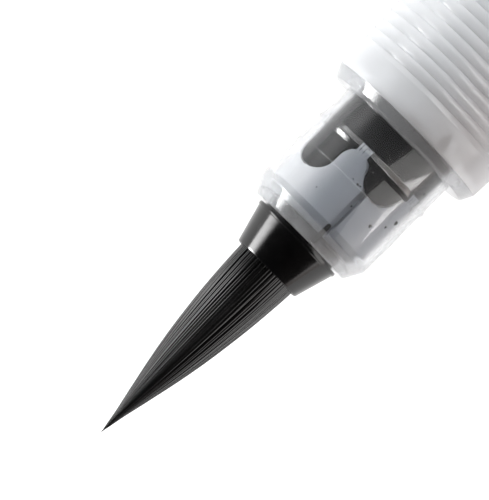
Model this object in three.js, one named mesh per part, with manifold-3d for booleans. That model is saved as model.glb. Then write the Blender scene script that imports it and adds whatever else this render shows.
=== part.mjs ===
// Squeeze-barrel brush pen, uncapped, with its cap posted on the tail and lying on its clip.
// Units are millimetres. +X runs from the brush tip to the tail, +Z is up, and z = 0 is the
// surface that the pen lies on. "u" is the distance from the brush tip along the pen's axis.
// Angles round the axis are measured from straight up (+Z) towards -Y.
import * as THREE from "three";
import { mergeVertices } from "three/addons/utils/BufferGeometryUtils.js";
import Module from "manifold-3d";

// ---------------------------------------------------------------- driving dimensions
const SEG = 24; // sides of the large turned parts
const SEG_SMALL = 24; // sides of the small inner parts

const BRISTLE_LENGTH = 18.7; // free length of the bristles, tip to ferrule mouth
const BRISTLE_BALL_R = 2.85; // rounded rear of the free length, which bends in the ferrule's mouth
const FERRULE_MOUTH_R = 3.24;
const FERRULE_REAR_R = 4.1;
const NOSE_FACE_U = 22.4; // front face of the nose
const NOSE_R = 5.74;
const NOSE_BORE_R = 5.1;
const FLANGE_U = 33.5; // front face of the ribbed grip
const FLANGE_R = 7.56;
const GRIP_END_U = 60.5;
const GRIP_R = 8.1;
const SOCKET_R = 6.9; // threaded socket in the back of the grip
const SOCKET_FLOOR_U = 35.3;
const RIB_FIRST_U = 37.4;
const RIB_PITCH = 0.955;
const RIB_COUNT = 21;
const RIB_DEPTH = 0.14;
const NECK_R = 6.2; // outside of the cartridge's neck
const NECK_FACE_U = 38.2;
const BARREL_FRONT_U = 60.8;
const TAIL_SHOULDER_U = 155.3;
const TAIL_NUB_R = 5.72; // same size as the nose, so that the inner cap grips either
const TAIL_END_U = 161.5;
const THREAD_LEAD = 2.5;
const THREAD_BEAD_R = 0.5;
const THREAD_TURNS = 2;
const CAP_MOUTH_U = 127.0; // where the posted cap's mouth sits on the barrel
const CAP_LENGTH = 68;
const CAP_MOUTH_R = 9.1;
const CLIP_ANGLE = 129.75; // degrees from straight up, towards -Y
const CLIP_OUTER_R = 11.7; // flat outside of the clip, from the pen's axis
const CLIP_HALF_WIDTH = 2;
const FINGER_ANGLES = [-49, 23, 95, 167, 239]; // the collector's fingers
const FINGER_ENDS = [26.74, 28.2, 26.74, 28.2, 26.74];
const FINGER_HALF_WIDTH = 1.72;
const VENT_ANGLE = 14; // the vent groove along the liner

const AXIS_Z = CAP_MOUTH_R * Math.cos(Math.PI / SEG); // the cap lies on one of its flats
const CENTRE_U = (CAP_MOUTH_U + CAP_LENGTH) / 2; // middle of the whole length
// Centres the box across, because the clip stands out on one side.
const AXIS_Y =
  (CLIP_OUTER_R * Math.sin((CLIP_ANGLE * Math.PI) / 180) -
    CLIP_HALF_WIDTH * Math.cos((CLIP_ANGLE * Math.PI) / 180) -
    AXIS_Z) /
  2;

// ---------------------------------------------------------------- materials
const plastic = (color, roughness, opacity = 1) =>
  new THREE.MeshStandardMaterial({
    color,
    roughness,
    metalness: 0,
    opacity,
    transparent: opacity < 1,
  });
const FROSTED = plastic(0xe6e8ea, 0.35, 0.55);
const LINER = plastic(0xdfe2e6, 0.45, 0.85);
const MILKY = plastic(0xd2d4d6, 0.4, 0.7);
const BLACK = plastic(0x0b0b0c, 0.22);
const BRISTLE = plastic(0x17171a, 0.45);
const INK = plastic(0x050507, 0.1);
const RUBBER = plastic(0x2a2a2c, 0.8);
const FOAM = plastic(0x35363a, 0.95);
const FEED = plastic(0x6e7074, 0.6);
const CAP_BLACK = plastic(0x101012, 0.15);
const LABEL = plastic(0xb79a6b, 0.5);

// ---------------------------------------------------------------- solids
const wasm = await Module();
wasm.setup();

const rad = (degrees) => (degrees * Math.PI) / 180;

// A turned solid about +Y. Each point is [u, r]: out along the outside with u rising, back along the inside.
function turned(profile, segments = SEG) {
  const points = profile.map(([u, r]) => new THREE.Vector2(r, u));
  if (profile[0][1] > 0 || profile[profile.length - 1][1] > 0)
    points.push(points[0].clone());
  return new THREE.LatheGeometry(points, segments, Math.PI / segments);
}

function solid(geometry) {
  const g = geometry.clone();
  g.deleteAttribute("normal");
  g.deleteAttribute("uv");
  const merged = mergeVertices(g, 1e-4);
  return new wasm.Manifold(
    new wasm.Mesh({
      numProp: 3,
      vertProperties: merged.attributes.position.array,
      triVerts: new Uint32Array(merged.index.array),
    }),
  );
}

function geometryOf(manifold) {
  const m = manifold.getMesh();
  const n = m.numProp;
  const v = new Float32Array(m.numVert * 3);
  for (let i = 0; i < m.numVert; i++)
    v.set(m.vertProperties.subarray(i * n, i * n + 3), i * 3);
  const g = new THREE.BufferGeometry()
    .setAttribute("position", new THREE.BufferAttribute(v, 3))
    .setIndex(new THREE.BufferAttribute(new Uint32Array(m.triVerts), 1));
  g.computeVertexNormals();
  return g;
}

// A radial prism: an outline across (x) and along (y) the axis, standing from r0 to r1 at an angle.
function radialPrism(shape, r0, r1, degrees) {
  const g = new THREE.ExtrudeGeometry(shape, {
    depth: r1 - r0,
    bevelEnabled: false,
    steps: 1,
    curveSegments: 8,
  });
  g.translate(0, 0, r0);
  g.rotateY(rad(degrees));
  return solid(g);
}

function rectangle(x0, y0, x1, y1) {
  return new THREE.Shape([
    new THREE.Vector2(x0, y0),
    new THREE.Vector2(x1, y0),
    new THREE.Vector2(x1, y1),
    new THREE.Vector2(x0, y1),
  ]);
}

// A right-handed helix about +Y: it climbs +Y by its lead for each turn by the right-hand rule.
class Helix extends THREE.Curve {
  constructor(radius, lead, turns, y0, startDegrees) {
    super();
    Object.assign(this, { radius, lead, turns, y0, start: rad(startDegrees) });
  }
  getPoint(t, target = new THREE.Vector3()) {
    const a = this.start + t * this.turns * 2 * Math.PI;
    // a point at angle a from +Z towards +X turns by the right-hand rule about +Y
    return target.set(
      this.radius * Math.sin(a),
      this.y0 + t * this.turns * this.lead,
      this.radius * Math.cos(a),
    );
  }
}

function threadBead(radius, y0, startDegrees) {
  const outline = new THREE.Shape(
    Array.from({ length: 6 }, (_, i) => {
      const a = (i * Math.PI) / 3;
      return new THREE.Vector2(
        THREAD_BEAD_R * Math.cos(a),
        THREAD_BEAD_R * Math.sin(a),
      );
    }),
  );
  const g = new THREE.ExtrudeGeometry(outline, {
    steps: THREAD_TURNS * 20,
    bevelEnabled: false,
    extrudePath: new Helix(
      radius,
      THREAD_LEAD,
      THREAD_TURNS,
      y0,
      startDegrees,
    ),
  });
  return solid(g);
}

// ---------------------------------------------------------------- scene graph
const pen = new THREE.Group();
const axis = new THREE.Group(); // its +Y is the pen's axis
axis.rotation.z = -Math.PI / 2;
axis.position.set(-CENTRE_U, AXIS_Y, AXIS_Z);
pen.add(axis);
const frontSection = new THREE.Group();
const brush = new THREE.Group();
const cartridge = new THREE.Group();
const cap = new THREE.Group();
cap.position.y = CAP_MOUTH_U;
axis.add(frontSection, brush, cartridge, cap);

function part(name, geometry, material, parent) {
  const mesh = new THREE.Mesh(geometry, material);
  mesh.name = name;
  parent.add(mesh);
  return mesh;
}

// ---------------------------------------------------------------- front section
// Outer radius of the ribbed grip's crests.
function gripRadius(u) {
  const table = [
    [34.6, FLANGE_R],
    [37, 7.66],
    [41, 7.9],
    [46, 8.04],
    [51, GRIP_R],
    [61, GRIP_R],
  ];
  for (let i = 1; i < table.length; i++)
    if (u <= table[i][0]) {
      const [u0, r0] = table[i - 1];
      const [u1, r1] = table[i];
      return r0 + ((r1 - r0) * (u - u0)) / (u1 - u0);
    }
  return GRIP_R;
}

const ribs = [];
for (let i = 0; i < RIB_COUNT; i++) {
  const u = RIB_FIRST_U + i * RIB_PITCH;
  ribs.push([u, gripRadius(u) - RIB_DEPTH]);
  ribs.push([u + RIB_PITCH / 2, gripRadius(u + RIB_PITCH / 2)]);
}
const frontBarrel = solid(
  turned([
    [NOSE_FACE_U, 4.8],
    [NOSE_FACE_U + 0.15, 4.92],
    [24.0, NOSE_R],
    [28.1, NOSE_R],
    [28.2, 5.69],
    [30.15, 5.69],
    [30.55, 5.86],
    [30.95, 5.69],
    [FLANGE_U, 5.66],
    [FLANGE_U, 6.9],
    [FLANGE_U + 0.18, 7.12],
    [34.6, FLANGE_R],
    [36.9, 7.66],
    ...ribs,
    [GRIP_END_U - 0.3, GRIP_R],
    [GRIP_END_U, GRIP_R - 0.15],
    [GRIP_END_U, SOCKET_R],
    [SOCKET_FLOOR_U, SOCKET_R],
    [SOCKET_FLOOR_U, NOSE_BORE_R],
    [24.5, NOSE_BORE_R],
    [23.4, 4.45],
    [23.4, 3.8],
    [NOSE_FACE_U, 3.8],
  ]),
).add(threadBead(SOCKET_R, 50.5, 0));
part("front_barrel", geometryOf(frontBarrel), FROSTED, frontSection);

part(
  "ferrule",
  turned([
    [BRISTLE_LENGTH, FERRULE_MOUTH_R - 0.1],
    [BRISTLE_LENGTH + 0.15, FERRULE_MOUTH_R],
    [21.9, FERRULE_REAR_R],
    [21.92, 4.22],
    [22.25, 4.24],
    [22.25, 3.65],
    [26.9, 3.65],
    [26.9, 3.3],
    [24.45, 3.3],
    [24.45, 2.98],
    [19.05, 2.98],
    [BRISTLE_LENGTH, 3.06],
  ]),
  BLACK,
  frontSection,
);

part(
  "bristle_root",
  turned(
    [
      [21.95, 2.85],
      [24.6, 2.85],
      [24.6, 3.15],
      [25.4, 3.15],
      [25.4, 1.05],
      [21.95, 1.05],
    ],
    SEG_SMALL,
  ),
  BRISTLE,
  frontSection,
);

part(
  "tuft_retainer",
  turned(
    [
      [25.55, 3.15],
      [26.8, 3.15],
      [26.8, 1.05],
      [25.55, 1.05],
    ],
    SEG_SMALL,
  ),
  FEED,
  frontSection,
);

// Feed rod: a plastic core with ink channels moulded along it.
const rodOutline = new THREE.Shape(
  Array.from({ length: 16 }, (_, i) => {
    const a = (i * Math.PI) / 8;
    const r = i % 4 === 0 ? 0.45 : 0.86;
    return new THREE.Vector2(r * Math.cos(a), r * Math.sin(a));
  }),
);
const rod = new THREE.ExtrudeGeometry(rodOutline, {
  depth: 18.3,
  bevelEnabled: false,
  steps: 1,
});
rod.rotateX(-Math.PI / 2);
part("feed_rod", rod, FEED, frontSection).position.y = 22.1;

// Fingers that reach forward from the collector and fit between the liner's lands.
function fingerShape(end, grow) {
  const w = FINGER_HALF_WIDTH + grow;
  const bow = 1.55;
  const shape = new THREE.Shape();
  shape.moveTo(-w, 32);
  shape.lineTo(-w, end + bow);
  shape.absellipse(0, end + bow, w, bow + grow, Math.PI, 2 * Math.PI, false, 0);
  shape.lineTo(w, 32);
  shape.closePath();
  return shape;
}
const collectorBody = solid(
  turned(
    [
      [31.3, 4.97],
      [34.9, 4.97],
      [34.9, 1.1],
      [33.4, 1.1],
      [33.4, 3.95],
      [31.3, 3.95],
    ],
    SEG,
  ),
);
const fingerRing = solid(
  turned([
    [26, 4.97],
    [31.6, 4.97],
    [31.6, 4.5],
    [26, 4.5],
  ]),
);
let fingers = null;
let recesses = null;
FINGER_ANGLES.forEach((angle, i) => {
  const f = radialPrism(fingerShape(FINGER_ENDS[i], 0), 3, 6, angle);
  const r = radialPrism(fingerShape(FINGER_ENDS[i], 0.15), 3, 6, angle);
  fingers = fingers ? fingers.add(f) : f;
  recesses = recesses ? recesses.add(r) : r;
});
part(
  "ink_collector",
  geometryOf(collectorBody.add(fingerRing.intersect(fingers))),
  BLACK,
  frontSection,
);

const liner = solid(
  turned([
    [23.55, 4.3],
    [24.6, 4.97],
    [31.05, 4.97],
    [31.05, 3.8],
    [23.55, 3.8],
  ]),
)
  .subtract(
    recesses.intersect(
      solid(
        turned([
          [26, 6],
          [31.6, 6],
          [31.6, 4.35],
          [26, 4.35],
        ]),
      ),
    ),
  )
  .subtract(
    radialPrism(rectangle(-0.32, 23, 0.32, 28.4), 4.25, 6, VENT_ANGLE),
  );
part("inner_liner", geometryOf(liner), LINER, frontSection);

part(
  "buffer_foam",
  turned(
    [
      [27.2, 3.6],
      [33.1, 3.6],
      [33.1, 1.05],
      [27.2, 1.05],
    ],
    SEG_SMALL,
  ),
  FOAM,
  frontSection,
);

// Connector: a windowed flange seated in the socket, and the tube that pierces the cartridge's neck.
let connector = solid(
  turned(
    [
      [35.45, 6.7],
      [36.9, 6.7],
      [36.9, 2.6],
      [37.3, 2.0],
      [43.2, 2.0],
      [44.0, 1.4],
      [44.0, 1.05],
      [35.45, 1.05],
    ],
    SEG_SMALL,
  ),
);
for (let i = 0; i < 10; i++)
  connector = connector.subtract(
    radialPrism(rectangle(-1.1, 35.75, 1.1, 36.6), 5.4, 8, 13 + i * 36),
  );
part("connector_tube", geometryOf(connector), MILKY, frontSection);

// ---------------------------------------------------------------- bristles
// Outer radius of the bristle bundle at u.
const BRISTLE_PROFILE = [
  [0.9, 0.17],
  [1.7, 0.31],
  [2.5, 0.47],
  [4.1, 0.83],
  [5.7, 1.18],
  [7.3, 1.51],
  [9.7, 1.94],
  [12.1, 2.27],
  [14.5, 2.55],
  [16.9, 2.74],
  [BRISTLE_LENGTH, BRISTLE_BALL_R],
];
const ball = [25, 50, 65].map((a) => [
  BRISTLE_LENGTH + BRISTLE_BALL_R * Math.sin(rad(a)),
  BRISTLE_BALL_R * Math.cos(rad(a)),
]);
part(
  "outer_bristles",
  turned(
    [
      [2.45, 0.46],
      ...BRISTLE_PROFILE.slice(3),
      ...ball,
      [BRISTLE_LENGTH + 2.62, 1.0],
      [8, 0.75],
      [2.45, 0.35],
    ],
    SEG_SMALL,
  ),
  BRISTLE,
  brush,
);
part(
  "core_bristles",
  turned(
    [
      [0, 0],
      [0.9, 0.17],
      [1.7, 0.31],
      [2.2, 0.41],
      [2.32, 0.25],
      [8, 0.62],
      [BRISTLE_LENGTH + 2.5, 0.85],
      [BRISTLE_LENGTH + 2.5, 0],
    ],
    SEG_SMALL,
  ),
  BRISTLE,
  brush,
);

// ---------------------------------------------------------------- cartridge
part(
  "neck_seal_ring",
  turned(
    [
      [37.2, 6.1],
      [37.9, 6.1],
      [37.9, 4.6],
      [37.2, 4.6],
    ],
    SEG_SMALL,
  ),
  RUBBER,
  cartridge,
);

const BARREL_OUTSIDE = [
  [BARREL_FRONT_U, 7.85],
  [BARREL_FRONT_U + 0.3, GRIP_R],
  [66, GRIP_R],
  [78, 8.02],
  [95, 7.88],
  [115, 7.68],
  [135, 7.48],
  [152, 7.3],
  [154.5, 7.05],
  [TAIL_SHOULDER_U, 6.6],
];
const bottle = solid(
  turned([
    [NECK_FACE_U, 5.9],
    [NECK_FACE_U + 0.3, NECK_R],
    [BARREL_FRONT_U, NECK_R],
    ...BARREL_OUTSIDE,
    [TAIL_SHOULDER_U + 0.1, TAIL_NUB_R],
    [TAIL_END_U - 0.5, TAIL_NUB_R],
    [TAIL_END_U, 5.2],
    [TAIL_END_U, 0],
    [160.6, 0],
    [160.6, 4.85],
    [155.8, 4.85],
    [154.2, 5.9],
    [152, 6.42],
    [135, 6.62],
    [115, 6.82],
    [95, 7.02],
    [78, 7.15],
    [63.5, 7.2],
    [60.5, 5.2],
    [NECK_FACE_U, 5.2],
  ]),
).add(threadBead(NECK_R + 0.05, 50.5 + THREAD_LEAD / 2, 0));
part("cartridge_bottle", geometryOf(bottle), MILKY, cartridge);

part(
  "neck_insert",
  turned(
    [
      [38.5, 5.05],
      [42.5, 5.05],
      [42.5, 3.0],
      [46.5, 3.0],
      [46.5, 2.2],
      [38.5, 2.2],
    ],
    SEG_SMALL,
  ),
  MILKY,
  cartridge,
);

// The ink lies level in the barrel, with air above it.
const inkColumn = solid(
  turned(
    [
      [47, 0],
      [47, 5.0],
      [60.3, 5.0],
      [63.7, 6.95],
      [78, 6.9],
      [95, 6.78],
      [115, 6.58],
      [135, 6.38],
      [151.5, 6.18],
      [153, 5.7],
      [153, 0],
    ],
    SEG_SMALL,
  ),
);
const airSpace = new THREE.BoxGeometry(20, 130, 20);
airSpace.translate(0, 100, 10 + 2.2);
part(
  "ink_charge",
  geometryOf(inkColumn.subtract(solid(airSpace))),
  INK,
  cartridge,
);

part(
  "barrel_label",
  turned([
    [72, 8.26],
    [78, 8.22],
    [95, 8.08],
    [114, 7.89],
    [114, 7.77],
    [95, 7.96],
    [78, 8.1],
    [72, 8.14],
  ]),
  LABEL,
  cartridge,
);

// ---------------------------------------------------------------- cap, in its own length from the mouth
part(
  "cap_shell",
  turned([
    [0, 8.85],
    [0.5, CAP_MOUTH_R],
    [64.6, 8.72],
    [65, 8.6],
    [65, 7.7],
    [30, 8.15],
    [0, 8.3],
  ]),
  CAP_BLACK,
  cap,
);

part(
  "inner_cap",
  turned([
    [28.5, 6.35],
    [29.3, 6.75],
    [61.5, 6.75],
    [61.5, 7.45],
    [63.6, 7.45],
    [63.6, 0],
    [62.6, 0],
    [62.6, 5.85],
    [28.5, 5.85],
  ]),
  MILKY,
  cap,
);

const crown = solid(
  turned([
    [63.9, 0],
    [63.9, 7.4],
    [65.3, 7.4],
    [65.3, 8.7],
    [66.8, 8.7],
    [CAP_LENGTH, 7.7],
    [CAP_LENGTH, 0],
  ]),
).add(
  radialPrism(
    rectangle(-CLIP_HALF_WIDTH, 65.45, CLIP_HALF_WIDTH, 67.2),
    6,
    CLIP_OUTER_R,
    CLIP_ANGLE,
  ),
);
part("cap_crown", geometryOf(crown), CAP_BLACK, cap);

// Clip: a sprung arm that reaches back over the cap, with a bead that presses the pocket's cloth.
// The outline is along the cap (x) and out from it (y).
const CLIP_ROOT = 65.15;
const CLIP_FREE = 24;
const clipOutline = new THREE.Shape();
clipOutline.moveTo(CLIP_ROOT, 10.3);
clipOutline.lineTo(CLIP_ROOT, CLIP_OUTER_R);
clipOutline.lineTo(CLIP_FREE + 0.6, CLIP_OUTER_R);
clipOutline.lineTo(CLIP_FREE, 11.1);
clipOutline.lineTo(CLIP_FREE, 10.1);
clipOutline.lineTo(CLIP_FREE + 1.2, 9.45);
clipOutline.lineTo(CLIP_FREE + 2.8, 9.45);
clipOutline.lineTo(CLIP_FREE + 4.6, 10.3);
clipOutline.closePath();
const clip = new THREE.ExtrudeGeometry(clipOutline, {
  depth: 2 * CLIP_HALF_WIDTH,
  bevelEnabled: false,
  steps: 1,
});
clip.translate(0, 0, -CLIP_HALF_WIDTH);
// along the cap becomes +Y, out from it becomes +Z, and the width becomes +X
clip.applyMatrix4(
  new THREE.Matrix4().set(0, 0, 1, 0, 1, 0, 0, 0, 0, 1, 0, 0, 0, 0, 0, 1),
);
const clipArm = part("clip_arm", clip, CAP_BLACK, cap);
clipArm.rotation.y = rad(CLIP_ANGLE);

export default pen;
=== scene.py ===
import bpy
import bmesh
import math
import random
from mathutils import Matrix, Vector


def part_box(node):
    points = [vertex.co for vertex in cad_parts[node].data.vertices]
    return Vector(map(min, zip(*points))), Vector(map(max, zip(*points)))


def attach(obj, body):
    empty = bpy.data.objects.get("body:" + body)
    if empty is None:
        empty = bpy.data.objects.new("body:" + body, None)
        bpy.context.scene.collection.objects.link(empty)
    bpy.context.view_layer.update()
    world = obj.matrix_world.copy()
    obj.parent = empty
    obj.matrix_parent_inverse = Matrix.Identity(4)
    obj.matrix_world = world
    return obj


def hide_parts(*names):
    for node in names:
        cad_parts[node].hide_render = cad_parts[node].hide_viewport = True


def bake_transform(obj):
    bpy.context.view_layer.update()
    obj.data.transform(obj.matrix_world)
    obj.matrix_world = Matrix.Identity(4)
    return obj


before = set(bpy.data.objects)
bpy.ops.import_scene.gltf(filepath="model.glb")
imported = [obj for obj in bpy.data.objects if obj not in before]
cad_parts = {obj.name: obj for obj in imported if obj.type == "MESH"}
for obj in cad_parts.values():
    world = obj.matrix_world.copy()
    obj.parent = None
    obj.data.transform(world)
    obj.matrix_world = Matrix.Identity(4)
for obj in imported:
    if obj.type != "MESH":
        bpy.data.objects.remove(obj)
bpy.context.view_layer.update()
scene = bpy.context.scene
random.seed(7)

MM = 0.001
# The pen's axis and tip, from the frame.
_f_lo, _f_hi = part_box("ferrule")
AY, AZ = (_f_lo.y + _f_hi.y) / 2, (_f_lo.z + _f_hi.z) / 2
TIP_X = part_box("core_bristles")[0].x
CAP_U = (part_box("cap_shell")[0].x - TIP_X) / MM  # where the posted cap's mouth is
CLIP_ANGLE = 129.75


def P(u, phi=0.0, r=0.0):
    """A point u mm from the tip, r mm from the axis, phi degrees from +Z towards -Y."""
    a = math.radians(phi)
    return Vector(
        (TIP_X + u * MM, AY - r * MM * math.sin(a), AZ + r * MM * math.cos(a))
    )


# ------------------------------------------------------------------ mesh helpers
def new_object(name, verts, faces, smooth_angle=32, flip_check=True, mats=None):
    me = bpy.data.meshes.new(name)
    me.from_pydata([tuple(v) for v in verts], [], faces)
    me.validate()
    if flip_check:
        bm = bmesh.new()
        bm.from_mesh(me)
        bmesh.ops.recalc_face_normals(bm, faces=bm.faces)
        bm.to_mesh(me)
        bm.free()
    me.shade_smooth()
    me.set_sharp_from_angle(angle=math.radians(smooth_angle))
    ob = bpy.data.objects.new(name, me)
    scene.collection.objects.link(ob)
    return ob


def rounded(profile, closed=True, steps=5):
    """Rounds the corners of a profile: each point is (u, r) or (u, r, fillet)."""
    out = []
    n = len(profile)
    for i, p in enumerate(profile):
        f = p[2] if len(p) > 2 else 0
        if not f or (not closed and i in (0, n - 1)):
            out.append((p[0], p[1]))
            continue
        a, b, c = (
            Vector(profile[i - 1][:2]),
            Vector(p[:2]),
            Vector(profile[(i + 1) % n][:2]),
        )
        d0, d1 = (a - b), (c - b)
        l0, l1 = d0.length, d1.length
        if l0 < 1e-6 or l1 < 1e-6:
            out.append((p[0], p[1]))
            continue
        d0.normalize()
        d1.normalize()
        ang = d0.angle(d1)
        if ang > math.pi - 0.02:
            out.append((p[0], p[1]))
            continue
        t = min(f / math.tan(ang / 2), l0 * 0.48, l1 * 0.48)
        s, e = b + d0 * t, b + d1 * t
        for k in range(steps + 1):
            w = k / steps
            q = s * (1 - w) ** 2 + b * 2 * w * (1 - w) + e * w**2
            out.append((q.x, q.y))
    return out


def ring_mesh(profile, segs=160, closed=None):
    """Vertices and faces of a turned solid. A profile that starts and ends on the axis isn't joined end to end."""
    if closed is None:
        closed = not (profile[0][1] < 1e-9 and profile[-1][1] < 1e-9)
    verts, rings = [], []
    for u, r in profile:
        if r < 1e-9:
            rings.append([len(verts)])
            verts.append(P(u))
        else:
            rings.append(list(range(len(verts), len(verts) + segs)))
            verts += [P(u, 360.0 * k / segs, r) for k in range(segs)]
    faces = []
    pairs = list(zip(range(len(rings) - 1), range(1, len(rings))))
    if closed:
        pairs.append((len(rings) - 1, 0))
    for i, j in pairs:
        a, b = rings[i], rings[j]
        if len(a) == 1 and len(b) == 1:
            continue
        for k in range(segs):
            m = (k + 1) % segs
            if len(a) == 1:
                faces.append((a[0], b[k], b[m]))
            elif len(b) == 1:
                faces.append((a[k], b[0], a[m]))
            else:
                faces.append((a[k], b[k], b[m], a[m]))
    return verts, faces


def lathe(name, profile, segs=160, smooth_angle=32, closed=None, steps=5):
    if closed is None:
        closed = not (profile[0][1] < 1e-9 and profile[-1][1] < 1e-9)
    v, f = ring_mesh(rounded(profile, closed, steps), segs, closed)
    return new_object(name, v, f, smooth_angle)


def join(name, objects):
    """One piece from several closed shells."""
    bm = bmesh.new()
    for o in objects:
        bm.from_mesh(o.data)
    me = bpy.data.meshes.new(name)
    bm.to_mesh(me)
    bm.free()
    me.set_sharp_from_angle(angle=math.radians(32))
    for o in objects:
        bpy.data.objects.remove(o)
    ob = bpy.data.objects.new(name, me)
    scene.collection.objects.link(ob)
    return ob


def cut(ob, cutters, smooth_angle=32):
    """Cuts the cutters from ob and applies the result."""
    for c in cutters:
        m = ob.modifiers.new("cut", "BOOLEAN")
        m.operation = "DIFFERENCE"
        m.solver = "EXACT"
        m.object = c
    dg = bpy.context.evaluated_depsgraph_get()
    me = bpy.data.meshes.new_from_object(ob.evaluated_get(dg))
    ob.modifiers.clear()
    ob.data = me
    me.shade_smooth()
    me.set_sharp_from_angle(angle=math.radians(smooth_angle))
    for c in cutters:
        bpy.data.objects.remove(c)
    return ob


def radial_prism(name, outline, r0, r1, phi):
    """outline is (across, along u) in mm, standing from r0 to r1 along the direction phi."""
    a = math.radians(phi)
    d = Vector((0, -math.sin(a), math.cos(a)))
    t = Vector((0, -math.cos(a), -math.sin(a)))
    base = P(0)
    verts = []
    for r in (r0, r1):
        for x, u in outline:
            verts.append(base + Vector((u * MM, 0, 0)) + t * (x * MM) + d * (r * MM))
    n = len(outline)
    faces = [tuple(range(n)), tuple(range(n, 2 * n))]
    faces += [(k, (k + 1) % n, n + (k + 1) % n, n + k) for k in range(n)]
    return new_object(name, verts, faces)


def curved_plate(name, rows, r0, r1, phi, cols=20):
    """A plate that follows the cylinder r0 to r1. Each row is (u, half-width in mm across)."""
    verts, faces = [], []
    nc = cols + 1
    for r in (r1, r0):
        for u, w in rows:
            for c in range(nc):
                x = w * (2 * c / cols - 1)
                verts.append(P(u, phi + math.degrees(math.asin(max(-1, min(1, x / r1)))), r))
    nr = len(rows)
    off = nr * nc
    for i in range(nr - 1):
        for c in range(cols):
            a, b = i * nc + c, (i + 1) * nc + c
            faces.append((a, b, b + 1, a + 1))
            faces.append((off + a, off + a + 1, off + b + 1, off + b))
    for i in range(nr - 1):
        for c in (0, cols):
            a, b = i * nc + c, (i + 1) * nc + c
            faces.append((a, b, off + b, off + a))
    for i in (0, nr - 1):
        for c in range(cols):
            a = i * nc + c
            faces.append((a, a + 1, off + a + 1, off + a))
    return new_object(name, verts, faces, 40)


def helix_bead(name, radius, lead, turns, u0, bead, sides=12, per_turn=72):
    """A raised thread: a round bead on a right-handed helix, with its ends run down into the wall."""
    verts, faces = [], []
    n = int(turns * per_turn)
    for i in range(n + 1):
        t = i / n
        a = t * turns * 2 * math.pi
        u = u0 + t * turns * lead
        fade = min(1.0, 8 * t, 8 * (1 - t)) ** 0.5 if 0 < t < 1 else 0.08
        for k in range(sides):
            b = 2 * math.pi * k / sides
            rr = radius + bead * fade * math.sin(b)
            uu = u + bead * fade * math.cos(b)
            # by the right-hand rule about +X, from +Z towards -Y
            verts.append(P(uu, math.degrees(a), rr))
    for i in range(n):
        for k in range(sides):
            a, b = i * sides + k, i * sides + (k + 1) % sides
            faces.append((a, b, b + sides, a + sides))
    faces.append(tuple(range(sides)))
    faces.append(tuple(range(n * sides, (n + 1) * sides)))
    return new_object(name, verts, faces, 60)


# ------------------------------------------------------------------ materials
def material(
    name,
    base,
    rough,
    second=None,
    second_scale=900,
    rough_var=0.05,
    rough_scale=1500,
    bump=0.0,
    bump_scale=2500,
    stretch=(1, 1, 1),
    transmission=0.0,
    ior=1.49,
    coat=0.0,
    coat_rough=0.05,
    specular=0.5,
    subsurface=0.0,
    subsurface_mm=(1, 1, 1),
    sheen=0.0,
    metallic=0.0,
):
    m = bpy.data.materials.new(name)
    m.use_nodes = True
    nt = m.node_tree
    b = nt.nodes["Principled BSDF"]
    b.inputs["Base Color"].default_value = (*base, 1)
    b.inputs["Metallic"].default_value = metallic
    b.inputs["IOR"].default_value = ior
    b.inputs["Transmission Weight"].default_value = transmission
    b.inputs["Coat Weight"].default_value = coat
    b.inputs["Coat Roughness"].default_value = coat_rough
    b.inputs["Specular IOR Level"].default_value = specular
    b.inputs["Sheen Weight"].default_value = sheen
    if subsurface:
        b.inputs["Subsurface Weight"].default_value = subsurface
        b.inputs["Subsurface Radius"].default_value = subsurface_mm
        b.inputs["Subsurface Scale"].default_value = MM
    co = nt.nodes.new("ShaderNodeTexCoord")
    mp = nt.nodes.new("ShaderNodeMapping")
    mp.inputs["Scale"].default_value = stretch
    nt.links.new(co.outputs["Object"], mp.inputs["Vector"])

    def noise(scale, detail=4.0):
        n = nt.nodes.new("ShaderNodeTexNoise")
        n.inputs["Scale"].default_value = scale
        n.inputs["Detail"].default_value = detail
        nt.links.new(mp.outputs["Vector"], n.inputs["Vector"])
        return n

    rn = noise(rough_scale)
    mr = nt.nodes.new("ShaderNodeMapRange")
    mr.inputs["From Min"].default_value = 0.3
    mr.inputs["From Max"].default_value = 0.7
    mr.inputs["To Min"].default_value = max(0.0, rough - rough_var)
    mr.inputs["To Max"].default_value = min(1.0, rough + rough_var)
    nt.links.new(rn.outputs["Fac"], mr.inputs["Value"])
    nt.links.new(mr.outputs["Result"], b.inputs["Roughness"])
    if second is not None:
        cn = noise(second_scale, 3.0)
        ramp = nt.nodes.new("ShaderNodeValToRGB")
        ramp.color_ramp.elements[0].position = 0.35
        ramp.color_ramp.elements[0].color = (*base, 1)
        ramp.color_ramp.elements[1].position = 0.7
        ramp.color_ramp.elements[1].color = (*second, 1)
        nt.links.new(cn.outputs["Fac"], ramp.inputs["Fac"])
        nt.links.new(ramp.outputs["Color"], b.inputs["Base Color"])
    if bump:
        bn = noise(bump_scale, 5.0)
        bu = nt.nodes.new("ShaderNodeBump")
        bu.inputs["Strength"].default_value = 1.0
        bu.inputs["Distance"].default_value = bump * MM
        nt.links.new(bn.outputs["Fac"], bu.inputs["Height"])
        nt.links.new(bu.outputs["Normal"], b.inputs["Normal"])
    return m


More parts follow.
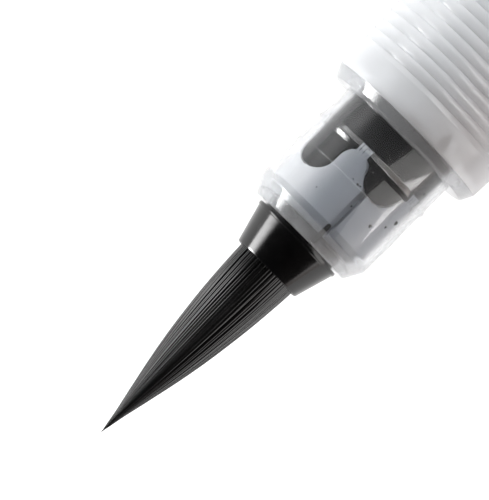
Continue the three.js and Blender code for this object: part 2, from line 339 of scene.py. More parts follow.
M_NOSE = material(
    "nose_frosted", (0.85, 0.86, 0.875), 0.20, second=(0.84, 0.852, 0.868),
    second_scale=160, rough_var=0.01, transmission=0.989, ior=1.22, coat=0.5,
    coat_rough=0.03, specular=0.5,
)
# Painted shade: a darker, less clear copy of the nose plastic for the front chamfer and the flange faces, which the
# light would otherwise turn white.
M_RIM_SHADED = material(
    "nose_rim_painted_shade", (0.62, 0.635, 0.65), 0.26, second=(0.60, 0.615, 0.635),
    second_scale=160, rough_var=0.01, transmission=0.84, ior=1.22, coat=0.5,
    coat_rough=0.05, specular=0.3,
)
M_GRIP = material(
    "grip_frosted", (0.66, 0.67, 0.685), 0.34, second=(0.645, 0.657, 0.675),
    second_scale=120, rough_var=0.02, transmission=0.66, ior=1.24, coat=0.15,
    coat_rough=0.12, specular=0.1,
)
M_LINER = material(
    "liner_frosted", (0.40, 0.425, 0.46), 0.42, second=(0.36, 0.385, 0.42),
    second_scale=300, transmission=0.22, ior=1.2, specular=0.15,
)
M_MILKY = material(
    "milky_polyethylene", (0.78, 0.80, 0.81), 0.36, second=(0.72, 0.745, 0.76),
    second_scale=140, transmission=0.5, ior=1.35,
)
M_BLACK = material(
    "black_gloss", (0.001, 0.001, 0.0011), 0.15, second=(0.002, 0.002, 0.0021),
    rough_var=0.03, rough_scale=1200, bump=0.0015, bump_scale=900, specular=0.5,
)
M_COLLECTOR = material(
    "black_satin", (0.002, 0.002, 0.0025), 0.45, second=(0.004, 0.004, 0.005),
    rough_var=0.06, specular=0.08,
)
M_HAIR = material(
    "black_filament", (0.0012, 0.0012, 0.0013), 0.11, second=(0.003, 0.0027, 0.0026),
    second_scale=500, stretch=(0.08, 1, 1), rough_var=0.03, rough_scale=2500,
    specular=0.5,
)
M_GREY = material(
    "grey_moulding", (0.10, 0.105, 0.11), 0.5, second=(0.13, 0.135, 0.14), bump=0.004,
)
M_FOAM = material(
    "inked_foam", (0.015, 0.016, 0.019), 0.75, second=(0.035, 0.037, 0.042),
    second_scale=3500, bump=0.05, bump_scale=4200,
)
M_RUBBER = material(
    "seal_rubber", (0.02, 0.02, 0.021), 0.62, second=(0.03, 0.03, 0.031), bump=0.006,
)
M_INK = material(
    "liquid_ink", (0.0015, 0.0016, 0.0022), 0.04, second=(0.003, 0.003, 0.004),
    rough_var=0.01, ior=1.34, bump=0.002, bump_scale=250,
)
M_STAIN = material(
    "dried_ink", (0.004, 0.004, 0.005), 0.4, second=(0.01, 0.01, 0.011), bump=0.004,
    bump_scale=6000,
)
M_CAP = material(
    "cap_black", (0.008, 0.008, 0.009), 0.13, second=(0.012, 0.012, 0.013),
    rough_var=0.03, rough_scale=500, bump=0.0015, bump_scale=500, coat=0.3,
)


def lighten_key_side(mat, y0, y1, key_side_colour):
    """Carries the base colour over to a lighter one across the pen: painted light, the side of the part towards the
    key light is made whiter.
    """
    nt = mat.node_tree
    b = nt.nodes["Principled BSDF"]
    old = b.inputs["Base Color"].links[0].from_socket
    co = nt.nodes.new("ShaderNodeTexCoord")
    sx = nt.nodes.new("ShaderNodeSeparateXYZ")
    nt.links.new(co.outputs["Object"], sx.inputs[0])
    mr = nt.nodes.new("ShaderNodeMapRange")
    mr.interpolation_type = "SMOOTHSTEP"
    mr.inputs["From Min"].default_value = y0
    mr.inputs["From Max"].default_value = y1
    nt.links.new(sx.outputs["Y"], mr.inputs["Value"])
    mx = nt.nodes.new("ShaderNodeMix")
    mx.data_type = "RGBA"
    nt.links.new(mr.outputs["Result"], mx.inputs["Factor"])
    nt.links.new(old, mx.inputs["A"])
    mx.inputs["B"].default_value = (*key_side_colour, 1)
    nt.links.new(mx.outputs["Result"], b.inputs["Base Color"])


# Painted light: the liner stays grey and is painted whiter towards the key-light side (+Y).
lighten_key_side(M_LINER, AY + 0.6 * MM, AY + 4.0 * MM, (0.93, 0.935, 0.94))


def label_material():
    """Blank printed film: a warm ground with a fine fibre, and two plain dark rules near its ends."""
    m = material(
        "label_film", (0.40, 0.27, 0.13), 0.45, second=(0.46, 0.32, 0.165),
        second_scale=1400, stretch=(0.25, 1, 1), bump=0.003, bump_scale=4000,
    )
    nt = m.node_tree
    b = nt.nodes["Principled BSDF"]
    old = b.inputs["Base Color"].links[0].from_socket
    co = nt.nodes.new("ShaderNodeTexCoord")
    sx = nt.nodes.new("ShaderNodeSeparateXYZ")
    nt.links.new(co.outputs["Object"], sx.inputs[0])
    lo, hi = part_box("barrel_label")
    total = None
    for x, half in (
        (lo.x + 0.0022, 0.0005), (lo.x + 0.0036, 0.0002),
        (hi.x - 0.0022, 0.0005), (hi.x - 0.0036, 0.0002),
    ):
        c = nt.nodes.new("ShaderNodeMath")
        c.operation = "COMPARE"
        c.inputs[1].default_value = x
        c.inputs[2].default_value = half
        nt.links.new(sx.outputs["X"], c.inputs[0])
        if total is None:
            total = c.outputs[0]
        else:
            a = nt.nodes.new("ShaderNodeMath")
            a.operation = "MAXIMUM"
            nt.links.new(total, a.inputs[0])
            nt.links.new(c.outputs[0], a.inputs[1])
            total = a.outputs[0]
    mx = nt.nodes.new("ShaderNodeMix")
    mx.data_type = "RGBA"
    nt.links.new(total, mx.inputs["Factor"])
    nt.links.new(old, mx.inputs["A"])
    mx.inputs["B"].default_value = (0.045, 0.02, 0.01, 1)
    nt.links.new(mx.outputs["Result"], b.inputs["Base Color"])
    return m


M_LABEL = label_material()


def finish_piece(ob, mat, body, slot, *nodes):
    ob.data.materials.clear()
    ob.data.materials.append(mat)
    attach(ob, body)
    if nodes:
        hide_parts(*nodes)
    return ob


# ------------------------------------------------------------------ bristles
BUNDLE = [
    (0, 0.0), (0.5, 0.085), (0.9, 0.165), (1.7, 0.31), (2.5, 0.47), (3.3, 0.65),
    (4.1, 0.83), (4.9, 1.0), (5.7, 1.175), (6.5, 1.345), (7.3, 1.505), (8.1, 1.66),
    (8.9, 1.80), (9.7, 1.935), (10.5, 2.055), (11.3, 2.165), (12.1, 2.27),
    (12.9, 2.37), (13.7, 2.46), (14.5, 2.545), (15.3, 2.615), (16.1, 2.68),
    (16.9, 2.735), (17.7, 2.785), (18.7, 2.83), (21.4, 2.83),
]


def bundle_radius(u):
    u = max(0.0, min(21.4, u))
    for (u0, r0), (u1, r1) in zip(BUNDLE, BUNDLE[1:]):
        if u <= u1:
            return r0 + (r1 - r0) * (u - u0) / (u1 - u0)
    return BUNDLE[-1][1]


def strands(name, count, share, tip_from, tip_to, width, height, phase, steps=46, back=21.3):
    """Flattened tapering hairs laid round the bundle at a share of its radius."""
    verts, faces = [], []
    sides = 8
    for i in range(count):
        phi0 = phase + 360.0 * i / count + random.uniform(-0.28, 0.28) * 360 / count
        tip = random.uniform(tip_from, tip_to)
        wob, wph = random.uniform(0.1, 0.5) * 360 / count, random.uniform(0, 6.28)
        lift = random.uniform(-0.03, 0.012)
        thick = random.uniform(0.86, 1.12)
        first = len(verts)
        for k in range(steps + 1):
            t = k / steps
            u = tip + (back - tip) * t**1.15
            big = bundle_radius(u)
            s = big / 2.83
            rr = big * share * (1 + lift * math.sin(min(1, t * 1.2) * math.pi))
            phi = phi0 + wob * math.sin(wph + 2.2 * t)
            end = min(1.0, (t * 14) ** 0.7) if t > 0 else 0.02
            w = width * thick * max(s, 0.03) * end
            h = height * thick * max(s, 0.03) * end
            for q in range(sides):
                b = 2 * math.pi * q / sides
                x, y = w * math.cos(b), h * math.sin(b)
                ra = rr - h + y
                a = math.radians(phi)
                d = Vector((0, -math.sin(a), math.cos(a)))
                tv = Vector((0, -math.cos(a), -math.sin(a)))
                verts.append(P(u) + d * (ra * MM) + tv * (x * MM))
        for k in range(steps):
            for q in range(sides):
                a, b = first + k * sides + q, first + k * sides + (q + 1) % sides
                faces.append((a, b, b + sides, a + sides))
        faces.append(tuple(range(first, first + sides)))
        faces.append(tuple(range(first + steps * sides, first + (steps + 1) * sides)))
    return new_object(name, verts, faces, 80)


outer = strands("bristle_outer_hairs", 84, 1.0, 0.05, 1.5, 0.118, 0.037, 0.0)
middle = strands("bristle_middle_hairs", 70, 0.965, 0.3, 2.6, 0.130, 0.05, 2.0, steps=30)
core_profile = [(0.02, 0.0)] + [
    (u, max(0.0, r * 0.93 - 0.004)) for u, r in BUNDLE[1:-1]
] + [(21.2, 2.55, 0.1), (21.2, 0.0)]
core = lathe("bristle_core", core_profile, 64, 50)
for ob in (outer, middle, core):
    ob.data.materials.clear()
    ob.data.materials.append(M_HAIR)
    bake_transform(ob)
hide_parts("outer_bristles")
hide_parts("core_bristles")

# ------------------------------------------------------------------ ferrule
ferrule = lathe(
    "ferrule_cone",
    [
        (18.7, 3.10, 0.03), (18.7, 3.20, 0.05), (18.86, 3.25, 0.04),
        (21.86, 4.10, 0.03), (21.93, 4.10, 0.02), (21.95, 4.215, 0.04),
        (22.25, 4.235, 0.05), (22.25, 3.65), (26.9, 3.65, 0.05), (26.9, 3.3),
        (24.45, 3.3), (24.45, 2.98), (19.05, 2.98, 0.05),
    ],
    192,
)
finish_piece(ferrule, M_BLACK, "front_section", "black_gloss", "ferrule")

# ------------------------------------------------------------------ nose and ribbed grip
RIB_FIRST, RIB_PITCH, RIB_COUNT, RIB_DEPTH = 37.4, 0.955, 21, 0.135


def grip_radius(u):
    t = [(34.6, 7.56), (37, 7.66), (41, 7.9), (46, 8.04), (51, 8.1), (61, 8.1)]
    if u <= t[0][0]:
        return t[0][1]
    for (u0, r0), (u1, r1) in zip(t, t[1:]):
        if u <= u1:
            return r0 + (r1 - r0) * (u - u0) / (u1 - u0)
    return 8.1


rib_profile = []
for i in range(RIB_COUNT):
    for k in range(8):
        x = k / 8
        u = RIB_FIRST + (i + x) * RIB_PITCH
        lobe = abs(math.sin(math.pi * x)) ** 0.58
        rib_profile.append((u, grip_radius(u) - RIB_DEPTH * (1 - lobe)))
barrel_profile = (
    [
        (22.4, 4.80, 0.03), (22.55, 4.93, 0.06), (24.0, 5.74, 0.35), (28.1, 5.74, 0.02),
        (28.2, 5.69, 0.02), (30.1, 5.69, 0.15), (30.55, 5.86, 0.16), (31.0, 5.69, 0.15),
        (33.5, 5.66, 0.08), (33.5, 6.92, 0.06), (33.7, 7.12, 0.08), (34.6, 7.56, 0.4),
        (36.95, 7.655, 0.2),
    ]
    + rib_profile
    + [
        (57.5, 8.07, 0.05), (60.2, 8.1, 0.1), (60.5, 7.95, 0.1), (60.5, 6.9, 0.15),
        (35.3, 6.9, 0.1), (35.3, 5.1, 0.1), (24.5, 5.1, 0.2), (23.4, 4.45, 0.05),
        (23.4, 3.8, 0.03), (22.4, 3.8, 0.03),
    ]
)
barrel = lathe("nose_and_grip", barrel_profile, 192, 28)
barrel.data.materials.append(M_NOSE)
barrel.data.materials.append(M_GRIP)
barrel.data.materials.append(M_RIM_SHADED)
for p in barrel.data.polygons:
    u = (p.center.x - TIP_X) / MM
    # The front chamfer and the flange take the darker copy of the nose plastic: painted shade.
    p.material_index = 1 if u > 34.2 else 2 if u < 23.6 or u > 33.45 else 0
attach(barrel, "front_section")
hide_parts("front_barrel")

socket_thread = helix_bead("socket_thread", 6.9, 2.5, 2, 50.5, 0.45)
finish_piece(socket_thread, M_GRIP, "front_section", "frosted_clear")

# ------------------------------------------------------------------ inside the nose
FINGER_ANGLES = [-49, 23, 95, 167, 239]
FINGER_ENDS = [26.74, 28.2, 26.74, 28.2, 26.74]
FINGER_W, BOW, FLARE = 1.72, 1.55, 1.2


def finger_rows(end, n=16):
    rows = []
    for k in range(n + 1):
        a = math.pi / 2 * k / n
        rows.append((end + BOW * (1 - math.sin(a)), max(0.02, FINGER_W * math.cos(a))))
    rows = sorted(rows)
    for k in range(9):  # the fillet where two fingers meet
        a = math.pi / 2 * k / 8
        rows.append((29.2 + FLARE * math.sin(a) + k * 1e-4, FINGER_W + FLARE * (1 - math.cos(a))))
    return rows + [(31.6, FINGER_W + FLARE)]


def finger_outline(end, grow, n=16):
    w = FINGER_W + grow
    flare = [
        (w + FLARE * (1 - math.cos(math.pi / 16 * k)), 29.2 - grow + FLARE * math.sin(math.pi / 16 * k))
        for k in range(9)
    ]
    pts = [(-w - FLARE, 32.0)] + [(-x, u) for x, u in reversed(flare)] + [(-w, end + BOW)]
    for k in range(1, n):
        a = math.pi * k / n
        pts.append((-w * math.cos(a), end + BOW - (BOW + grow) * math.sin(a)))
    pts += [(w, end + BOW)] + flare + [(w + FLARE, 32.0)]
    return pts


shells = [
    lathe(
        "c0",
        [
            (31.3, 3.95, 0.05), (31.3, 4.97, 0.12), (34.9, 4.97, 0.12), (34.9, 1.1),
            (33.4, 1.1), (33.4, 3.95),
        ],
        160,
    )
]
for a, e in zip(FINGER_ANGLES, FINGER_ENDS):
    shells.append(curved_plate(f"c{a}", finger_rows(e), 4.5, 4.97, a))
collector = join("collector_with_fingers", shells)
finish_piece(collector, M_COLLECTOR, "front_section", "black_gloss", "ink_collector")

liner = lathe(
    "liner_shell",
    [
        (23.55, 3.8, 0.03), (23.55, 4.3, 0.08), (24.6, 4.97, 0.15), (31.05, 4.97, 0.05),
        (31.05, 3.8, 0.05),
    ],
    160,
)
cutters = []
for a, e in zip(FINGER_ANGLES, FINGER_ENDS):
    cutters.append(radial_prism(f"k{a}", finger_outline(e, 0.12), 4.33, 6, a))
cutters.append(radial_prism("kv", [(-0.32, 23), (0.32, 23), (0.32, 28.4), (-0.32, 28.4)], 4.25, 6, 14))
cut(liner, cutters)
finish_piece(liner, M_LINER, "front_section", "liner", "inner_liner")

foam = lathe(
    "buffer_foam_body",
    [(27.2, 1.05, 0.1), (27.2, 3.6, 0.25), (33.1, 3.6, 0.25), (33.1, 1.05, 0.1)],
    96,
)
finish_piece(foam, M_FOAM, "front_section", "foam", "buffer_foam")

root = lathe(
    "bristle_root_plug",
    [
        (21.95, 1.05, 0.1), (21.95, 2.85, 0.12), (24.6, 2.85, 0.05), (24.6, 3.15, 0.08),
        (25.4, 3.15, 0.08), (25.4, 1.05, 0.05),
    ],
    96,
)
finish_piece(root, M_HAIR, "front_section", "black_nylon", "bristle_root")
retainer = lathe(
    "tuft_retainer_ring",
    [(25.55, 1.05, 0.08), (25.55, 3.15, 0.12), (26.8, 3.15, 0.12), (26.8, 1.05, 0.08)],
    96,
)
finish_piece(retainer, M_GREY, "front_section", "grey_plastic", "tuft_retainer")


def feed_rod():
    """A fluted rod with four ink channels and a rounded front end."""
    verts, faces, n = [], [], 48
    us = [22.1, 22.16, 22.3, 22.5] + [22.5 + k * 0.5 for k in range(1, 36)] + [40.4]
    grow = [0.55, 0.75, 0.92, 1.0] + [1.0] * 36
    for u, g in zip(us, grow):
        for k in range(n):
            a = 360.0 * k / n
            d = min(abs(((a - c + 180) % 360) - 180) for c in (0, 90, 180, 270))
            r = 0.86 - 0.38 * max(0.0, 1 - (d / 15.0) ** 2)
            verts.append(P(u, a, r * g))
    for i in range(len(us) - 1):
        for k in range(n):
            a, b = i * n + k, i * n + (k + 1) % n
            faces.append((a, b, b + n, a + n))
    faces.append(tuple(range(n)))
    faces.append(tuple(range((len(us) - 1) * n, len(us) * n)))
    return new_object("feed_rod_fluted", verts, faces, 40)


finish_piece(feed_rod(), M_GREY, "front_section", "grey_plastic", "feed_rod")

connector = lathe(
    "connector_body",
    [
        (35.45, 1.05), (35.45, 6.7, 0.15), (36.9, 6.7, 0.15), (36.9, 2.6, 0.2),
        (37.3, 2.0, 0.15), (43.2, 2.0, 0.1), (44.0, 1.4, 0.1), (44.0, 1.05),
    ],
    128,
)
cutters = []
for i in range(10):
    pts = []
    for k in range(9):
        a = math.pi * k / 8
        pts.append((1.1 * math.cos(a), 36.1 + 0.5 * math.sin(a)))
    pts += [(-1.1, 35.75), (1.1, 35.75)]
    cutters.append(radial_prism(f"w{i}", pts, 5.4, 8, 13 + 36 * i))
cut(connector, cutters)
finish_piece(connector, M_MILKY, "front_section", "milky", "connector_tube")


def speck(name, u, phi, size, r):
    """A dried droplet: a flattened round cap on the wall."""
    verts, faces, n = [], [], 12
    squash = random.uniform(0.7, 1.25)
    lo_r, hi_r = r, r + 0.035
    prof = [(1.0, lo_r), (0.92, lo_r + 0.018), (0.6, hi_r - 0.005), (0.25, hi_r)]
    for s, rr in prof:
        for k in range(n):
            a = 2 * math.pi * k / n
            j = 1 + 0.18 * math.sin(3 * a + u * 7)
            du = size * s * j * math.cos(a) * squash
            dx = size * s * j * math.sin(a)
            verts.append(P(u + du, phi + math.degrees(dx / r), rr))
    for i in range(len(prof) - 1):
        for k in range(n):
            a, b = i * n + k, i * n + (k + 1) % n
            faces.append((a, b, b + n, a + n))
    faces.append(tuple(range(n)))
    faces.append(tuple(range((len(prof) - 1) * n, len(prof) * n)))
    return new_object(name, verts, faces, 60)


def at(x, r):
    return math.degrees(math.asin(x / r))


specks = []
for i, (cx, cy, size) in enumerate(
    [
        (530, 300, 0.045), (668, 405, 0.055), (598, 537, 0.045), (652, 542, 0.075),
        (676, 538, 0.05), (733, 690, 0.05), (1055, 230, 0.08), (1060, 530, 0.13),
        (935, 690, 0.09), (1022, 610, 0.06), (450, 772, 0.04),
    ]
):
    x = (1180 + cx / 1.875 - 1510.5) / 50
    u = (2325 - 620 - cy / 1.875) / 50
    wall = 5.79 if 30.1 < u < 31.0 else 5.73 if u < 28.1 else 5.68
    specks.append(speck(f"s{i}", u, at(x, 5.7), size * 1.6, wall))
finish_piece(join("ink_specks", specks), M_STAIN, "front_section", "ink")

vent = curved_plate(
    "vent_ink",
    [(22.6, 0.15), (22.75, 0.2), (24.3, 0.21), (24.6, 0.12)],
    4.60, 4.66, 13, cols=6,
)
finish_piece(vent, M_STAIN, "front_section", "ink")
smear = curved_plate(
    "rim_ink",
    [(22.75, 0.2), (22.9, 0.55), (23.15, 0.72), (23.35, 0.5), (23.5, 0.15)],
    4.52, 4.56, -24, cols=8,
)
finish_piece(smear, M_STAIN, "front_section", "ink")
stain = curved_plate(
    "collar_ink",
    [(34.78, 0.55), (35.2, 0.5), (35.8, 0.3), (36.4, 0.05)],
    7.42, 7.47, 22.0, cols=8,
)
finish_piece(stain, M_STAIN, "front_section", "ink")

# ------------------------------------------------------------------ cartridge
ring = lathe(
    "neck_seal_oring",
    [(37.2, 4.6, 0.2), (37.2, 6.1, 0.25), (37.9, 6.1, 0.25), (37.9, 4.6, 0.2)],
    96,
)
finish_piece(ring, M_RUBBER, "seal", "seal_rubber", "neck_seal_ring")

bottle = lathe(
    "cartridge_barrel",
    [
        (38.2, 5.9, 0.1), (38.5, 6.2, 0.2), (60.8, 6.2, 0.1), (60.8, 7.85, 0.05),
        (61.1, 8.1, 0.2), (66, 8.1), (72, 8.075), (78, 8.02), (86, 7.955), (95, 7.88),
        (105, 7.78), (115, 7.68), (125, 7.58), (135, 7.48), (145, 7.375), (152, 7.3, 2),
        (154.5, 7.05, 0.6), (155.3, 6.6, 0.3), (155.4, 5.72, 0.1), (161.0, 5.72, 0.3),
        (161.5, 5.2, 0.3), (161.5, 0), (160.6, 0), (160.6, 4.85, 0.3), (155.8, 4.85, 0.3),
        (154.2, 5.9, 0.5), (152, 6.42, 1), (135, 6.62), (115, 6.82), (95, 7.02),
        (78, 7.15), (63.5, 7.2, 0.8), (60.5, 5.2, 0.5), (38.2, 5.2, 0.1),
    ],
    160,
    closed=True,
)
finish_piece(bottle, M_MILKY, "cartridge", "milky", "cartridge_bottle")
neck_thread = helix_bead("neck_thread", 6.25, 2.5, 2, 51.75, 0.45)
finish_piece(neck_thread, M_MILKY, "cartridge", "milky")
insert = lathe(
    "neck_insert_plug",
    [
        (38.5, 2.2, 0.1), (38.5, 5.05, 0.15), (42.5, 5.05, 0.15), (42.5, 3.0, 0.1),
        (46.5, 3.0, 0.2), (46.5, 2.2, 0.1),
    ],
    96,
)
finish_piece(insert, M_MILKY, "cartridge", "milky", "neck_insert")


def ink_body():
    """Level ink in the barrel: a turned body with its top cut flat."""
    profile = [(61.5, 0.0), (61.5, 5.4), (63.7, 6.95), (78, 6.9), (95, 6.78), (115, 6.58), (135, 6.38), (151.5, 6.18), (153, 5.7), (153, 0.0)]
    fine = []
    for (u0, r0), (u1, r1) in zip(profile, profile[1:]):
        n = max(1, int(abs(u1 - u0) / 2))
        for k in range(n):
            fine.append((u0 + (u1 - u0) * k / n, r0 + (r1 - r0) * k / n))
    fine.append(profile[-1])
    v, f = ring_mesh(fine, 96, False)
    ob = new_object("i", v, f)
    level = 2.2
    verts = [Vector((TIP_X + u * MM, AY + y * MM, AZ + z * MM)) for z in (level, 12) for u, y in ((40, -12), (170, -12), (170, 12), (40, 12))]
    box = new_object("b", verts, [(0, 1, 2, 3), (4, 5, 6, 7), (0, 1, 5, 4), (1, 2, 6, 5), (2, 3, 7, 6), (3, 0, 4, 7)])
    cut(ob, [box])
    ob.name = "ink_in_barrel"
    return ob


finish_piece(ink_body(), M_INK, "cartridge", "ink", "ink_charge")
label = lathe(
    "label_wrap",
    [
        (72, 8.14, 0.02), (72, 8.26, 0.03), (78, 8.22), (86, 8.16), (95, 8.08), (105, 7.985),
        (114, 7.89, 0.03), (114, 7.79, 0.02), (105, 7.88), (95, 7.97), (86, 8.05), (78, 8.11),
    ],
    160,
)
finish_piece(label, M_LABEL, "cartridge", "label", "barrel_label")

# ------------------------------------------------------------------ cap
C = CAP_U
K = math.cos(math.pi / 24)  # the cap's flats in the frame touch the floor here
shell = lathe(
    "cap_tube",
    [
        (C, 8.3, 0.06), (C, 8.85 * K, 0.12), (C + 0.5, 9.1 * K, 0.15), (C + 16, 9.01 * K),
        (C + 32, 8.92 * K), (C + 48, 8.82 * K), (C + 64.6, 8.72 * K, 0.12),
        (C + 65, 8.6 * K, 0.1), (C + 65, 7.7, 0.1), (C + 30, 8.15), (C + 15, 8.22),
    ],
    192,
)
finish_piece(shell, M_CAP, "cap", "cap_black", "cap_shell")
icap = lathe(
    "inner_cap_cup",
    [
        (C + 28.5, 5.85, 0.1), (C + 28.5, 6.35, 0.15), (C + 29.3, 6.75, 0.25),
        (C + 61.5, 6.75, 0.1), (C + 61.5, 7.45, 0.1), (C + 63.6, 7.45, 0.1), (C + 63.6, 0),
        (C + 62.6, 0), (C + 62.6, 5.85, 0.4),
    ],
    128,
    closed=True,
)
finish_piece(icap, M_MILKY, "cap", "milky", "inner_cap")
crown = lathe(
    "crown_disc",
    [
        (C + 63.9, 0), (C + 63.9, 7.4, 0.15), (C + 65.3, 7.4, 0.05), (C + 65.3, 8.7 * K, 0.12),
        (C + 66.8, 8.7 * K, 0.25), (C + 68, 7.75, 0.2), (C + 68, 0),
    ],
    192,
    closed=False,
)


def strip(name, outline, half_width, phi, bevel):
    """A strip with the outline (u, r) and a width, bevelled along every edge."""
    a = math.radians(phi)
    t = Vector((0, -math.cos(a), -math.sin(a)))
    verts = []
    for s in (-half_width, half_width):
        for u, r in outline:
            verts.append(P(u, phi, r) + t * (s * MM))
    n = len(outline)
    faces = [tuple(range(n)), tuple(range(n, 2 * n))]
    faces += [(k, (k + 1) % n, n + (k + 1) % n, n + k) for k in range(n)]
    ob = new_object(name, verts, faces)
    m = ob.modifiers.new("bevel", "BEVEL")
    m.width = bevel * MM
    m.segments = 4
    m.limit_method = "ANGLE"
    m.angle_limit = math.radians(20)
    dg = bpy.context.evaluated_depsgraph_get()
    me = bpy.data.meshes.new_from_object(ob.evaluated_get(dg))
    ob.modifiers.clear()
    ob.data = me
    me.shade_smooth()
    me.set_sharp_from_angle(angle=math.radians(50))
    return ob


lug = strip(
    "lug",
    [(C + 65.45, 6.0), (C + 65.45, 11.7), (C + 67.2, 11.7), (C + 67.2, 6.0)],
    2.0, CLIP_ANGLE, 0.22,
)
finish_piece(join("crown_with_lug", [crown, lug]), M_CAP, "cap", "cap_black", "cap_crown")

arc = []
for k in range(13):  # the bead under the clip's free end
    a = math.pi * k / 12
    arc.append((C + 26.4 - 1.9 * math.cos(a), 10.3 - 0.85 * math.sin(a)))
clip = strip(
    "clip_spring_arm",
    [(C + 65.15, 11.7), (C + 65.15, 10.3)]
    + list(reversed(arc))
    + [(C + 24.0, 10.55), (C + 24.0, 11.1), (C + 24.6, 11.7)],
    2.0, CLIP_ANGLE, 0.25,
)
finish_piece(clip, M_CAP, "clip", "cap_black", "clip_arm")

# ------------------------------------------------------------------ floor, light, camera
fm = bpy.data.materials.new("light_table")
fm.use_nodes = True
nt = fm.node_tree
nt.nodes.clear()
out = nt.nodes.new("ShaderNodeOutputMaterial")
em = nt.nodes.new("ShaderNodeEmission")
em.inputs["Strength"].default_value = 1.0
df = nt.nodes.new("ShaderNodeBsdfDiffuse")
df.inputs["Color"].default_value = (0.3, 0.3, 0.3, 1)
ad = nt.nodes.new("ShaderNodeAddShader")
nt.links.new(em.outputs[0], ad.inputs[0])
nt.links.new(df.outputs[0], ad.inputs[1])
nt.links.new(ad.outputs[0], out.inputs["Surface"])
me = bpy.data.meshes.new("floor")
S = 0.9
me.from_pydata([(-S, -S, -2e-5), (S, -S, -2e-5), (S, S, -2e-5), (-S, S, -2e-5)], [], [(0, 1, 2, 3)])
floor = bpy.data.objects.new("floor", me)
scene.collection.objects.link(floor)
floor.data.materials.append(fm)

world = bpy.data.worlds.new("studio")
scene.world = world
world.use_nodes = True
nt = world.node_tree
nt.nodes.clear()
wo = nt.nodes.new("ShaderNodeOutputWorld")
bg = nt.nodes.new("ShaderNodeBackground")
tc = nt.nodes.new("ShaderNodeTexCoord")
sp = nt.nodes.new("ShaderNodeSeparateXYZ")
nt.links.new(tc.outputs["Generated"], sp.inputs[0])
at2 = nt.nodes.new("ShaderNodeMath")
at2.operation = "ARCTAN2"  # the angle round the pen's axis, from straight up: the key side is positive
nt.links.new(sp.outputs["Y"], at2.inputs[0])
nt.links.new(sp.outputs["Z"], at2.inputs[1])


def band(points):
    """A smooth curve of strength against the angle in degrees."""
    total = None
    for (a0, v0), (a1, v1) in zip(points, points[1:]):
        if v0 == v1:
            continue
        n = nt.nodes.new("ShaderNodeMapRange")
        n.interpolation_type = "SMOOTHSTEP"
        n.inputs["From Min"].default_value = math.radians(a0)
        n.inputs["From Max"].default_value = math.radians(a1)
        n.inputs["To Min"].default_value = 0.0
        n.inputs["To Max"].default_value = v1 - v0
        nt.links.new(at2.outputs[0], n.inputs["Value"])
        if total is None:
            total = n.outputs["Result"]
        else:
            a = nt.nodes.new("ShaderNodeMath")
            a.operation = "ADD"
            nt.links.new(total, a.inputs[0])
            nt.links.new(n.outputs["Result"], a.inputs[1])
            total = a.outputs[0]
    return total


def window(socket, points):
    """The same, against any other value."""
    total = None
    for (a0, v0), (a1, v1) in zip(points, points[1:]):
        if v0 == v1:
            continue
        n = nt.nodes.new("ShaderNodeMapRange")
        n.interpolation_type = "SMOOTHSTEP"
        n.inputs["From Min"].default_value = a0
        n.inputs["From Max"].default_value = a1
        n.inputs["To Min"].default_value = 0.0
        n.inputs["To Max"].default_value = v1 - v0
        nt.links.new(socket, n.inputs["Value"])
        if total is None:
            total = n.outputs["Result"]
        else:
            a = nt.nodes.new("ShaderNodeMath")
            a.operation = "ADD"
            nt.links.new(total, a.inputs[0])
            nt.links.new(n.outputs["Result"], a.inputs[1])
            total = a.outputs[0]
    return total


def maths(op, a, b):
    n = nt.nodes.new("ShaderNodeMath")
    n.operation = op
    for i, v in enumerate((a, b)):
        if isinstance(v, (int, float)):
            n.inputs[i].default_value = v
        else:
            nt.links.new(v, n.inputs[i])
    return n.outputs[0]


X = sp.outputs["X"]
# what reflections see
key = band([(56, 0.0), (87, 56.0), (92, 56.0), (114, 0.0)])
key = maths("MULTIPLY", key, window(X, [(-0.74, 0.0), (-0.6, 1.0), (-0.47, 1.0), (-0.37, 0.21), (-0.12, 0.19), (-0.05, 0.0)]))
side = band([(-112, 0.0), (-96, 1.9), (-84, 1.9), (-74, 0.0)])
side = maths("MULTIPLY", side, maths("ADD", window(X, [(-0.5, 0.0), (-0.2, 0.7)]), 0.3))
rear = maths("MULTIPLY", window(X, [(0.2, 0.0), (0.5, 1.0)]), 3.5)
mirror_level = maths("ADD", maths("ADD", maths("ADD", key, side), rear), 0.012)
# what lights the milky plastics
soft = band([(40, 0.0), (64, 11.0), (76, 11.0), (92, 3.5), (116, 0.0)])
soft_side = band([(-130, 0.0), (-100, 4.4), (-72, 4.4), (-44, 0.0)])
soft = maths("MULTIPLY", soft, maths("ADD", window(X, [(-0.7, 0.0), (-0.1, 0.7)]), 0.3))
soft_level = maths("ADD", maths("ADD", soft, soft_side), 0.03)
wl = nt.nodes.new("ShaderNodeLightPath")
pick0 = nt.nodes.new("ShaderNodeMix")
pick0.data_type = "FLOAT"
nt.links.new(wl.outputs["Is Glossy Ray"], pick0.inputs["Factor"])
nt.links.new(soft_level, pick0.inputs["A"])
nt.links.new(mirror_level, pick0.inputs["B"])
# rays that have passed through the clear plastic meet a low even level
clear = maths("MULTIPLY", wl.outputs["Is Transmission Ray"], maths("LESS_THAN", wl.outputs["Diffuse Depth"], 0.5))
pick1 = nt.nodes.new("ShaderNodeMix")
pick1.data_type = "FLOAT"
nt.links.new(clear, pick1.inputs["Factor"])
nt.links.new(pick0.outputs["Result"], pick1.inputs["A"])
through = nt.nodes.new("ShaderNodeMix")
through.data_type = "FLOAT"
nt.links.new(maths("GREATER_THAN", wl.outputs["Glossy Depth"], 0.5), through.inputs["Factor"])
through.inputs["A"].default_value = 0.4
nt.links.new(maths("MULTIPLY", mirror_level, 0.6), through.inputs["B"])
nt.links.new(through.outputs["Result"], pick1.inputs["B"])
pick = nt.nodes.new("ShaderNodeMix")
pick.data_type = "FLOAT"
nt.links.new(wl.outputs["Is Camera Ray"], pick.inputs["Factor"])
nt.links.new(pick1.outputs["Result"], pick.inputs["A"])
pick.inputs["B"].default_value = 1.0
nt.links.new(pick.outputs["Result"], bg.inputs["Strength"])
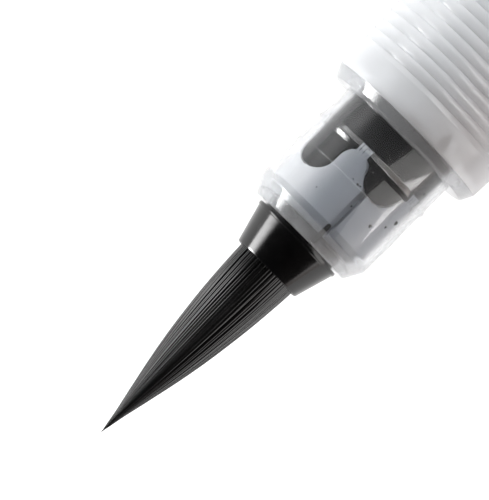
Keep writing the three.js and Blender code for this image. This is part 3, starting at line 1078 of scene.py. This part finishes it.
# the right-hand side of the studio is a little warm
warm = nt.nodes.new("ShaderNodeMapRange")
warm.interpolation_type = "SMOOTHSTEP"
warm.inputs["From Min"].default_value = -0.1
warm.inputs["From Max"].default_value = -0.7
nt.links.new(sp.outputs["Y"], warm.inputs["Value"])
hue = nt.nodes.new("ShaderNodeMix")
hue.data_type = "RGBA"
hue.inputs["A"].default_value = (1, 1, 1, 1)
hue.inputs["B"].default_value = (1.0, 0.90, 0.86, 1)
nt.links.new(maths("MULTIPLY", warm.outputs["Result"], maths("LESS_THAN", wl.outputs["Is Camera Ray"], 0.5)), hue.inputs["Factor"])
nt.links.new(hue.outputs["Result"], bg.inputs["Color"])
nt.links.new(bg.outputs[0], wo.inputs["Surface"])

# A pale card overhead on the far side. Its near edge runs slantwise, so its reflection ends in a clean line.
H = 45.0
card_pts = [(-90, 12.0), (-90, 5.9), (29, 0.70), (40, 0.22), (62, -0.3), (62, 9.0), (20, 12.0)]
cv = [P(u) + Vector((0, -y * H * MM, H * MM)) for u, y in card_pts]
me = bpy.data.meshes.new("card")
me.from_pydata([tuple(v) for v in cv], [], [tuple(range(len(cv)))])
card = bpy.data.objects.new("card", me)
scene.collection.objects.link(card)
cm = bpy.data.materials.new("card_white")
cm.use_nodes = True
nt = cm.node_tree
nt.nodes.clear()
co = nt.nodes.new("ShaderNodeOutputMaterial")
ce = nt.nodes.new("ShaderNodeEmission")
ce.inputs["Color"].default_value = (1.0, 0.985, 0.97, 1)
cc = nt.nodes.new("ShaderNodeTexCoord")
cs = nt.nodes.new("ShaderNodeSeparateXYZ")
nt.links.new(cc.outputs["Object"], cs.inputs[0])
cr = nt.nodes.new("ShaderNodeMapRange")
cr.interpolation_type = "SMOOTHSTEP"
cr.inputs["From Min"].default_value = TIP_X + 39.5 * MM
cr.inputs["From Max"].default_value = TIP_X + 41.5 * MM
cr.inputs["To Min"].default_value = 3.0
cr.inputs["To Max"].default_value = 14.0
nt.links.new(cs.outputs["X"], cr.inputs["Value"])
nt.links.new(cr.outputs["Result"], ce.inputs["Strength"])
nt.links.new(ce.outputs[0], co.inputs["Surface"])
me.materials.append(cm)
card.visible_camera = False
card.visible_diffuse = False
card.visible_transmission = False
card.visible_shadow = False

# Camera: near-parallel view from above, 2 degrees towards the tip, rolled so that the pen runs up to the right.
TILT, ROLL = math.radians(2.0), math.radians(44.7)
e_u = Vector((math.cos(TILT), 0, math.sin(TILT)))
e_r = Vector((0, -1, 0))
back = Vector((-math.sin(TILT), 0, math.cos(TILT)))
right = math.cos(ROLL) * e_u + math.sin(ROLL) * e_r
up = math.sin(ROLL) * e_u - math.cos(ROLL) * e_r
cd = bpy.data.cameras.new("camera")
cd.lens, cd.sensor_width = 400, 36
cam = bpy.data.objects.new("camera", cd)
scene.collection.objects.link(cam)
target = P(18.50) - e_r * (2.28 * MM)
dist = 0.040 * cd.lens / cd.sensor_width
pos = target + back * dist
cam.matrix_world = Matrix((
    (right.x, up.x, back.x, pos.x),
    (right.y, up.y, back.y, pos.y),
    (right.z, up.z, back.z, pos.z),
    (0, 0, 0, 1),
))
cd.clip_start, cd.clip_end = 0.01, 10
scene.camera = cam
scene.view_settings.view_transform = "Standard"
scene.view_settings.look = "None"
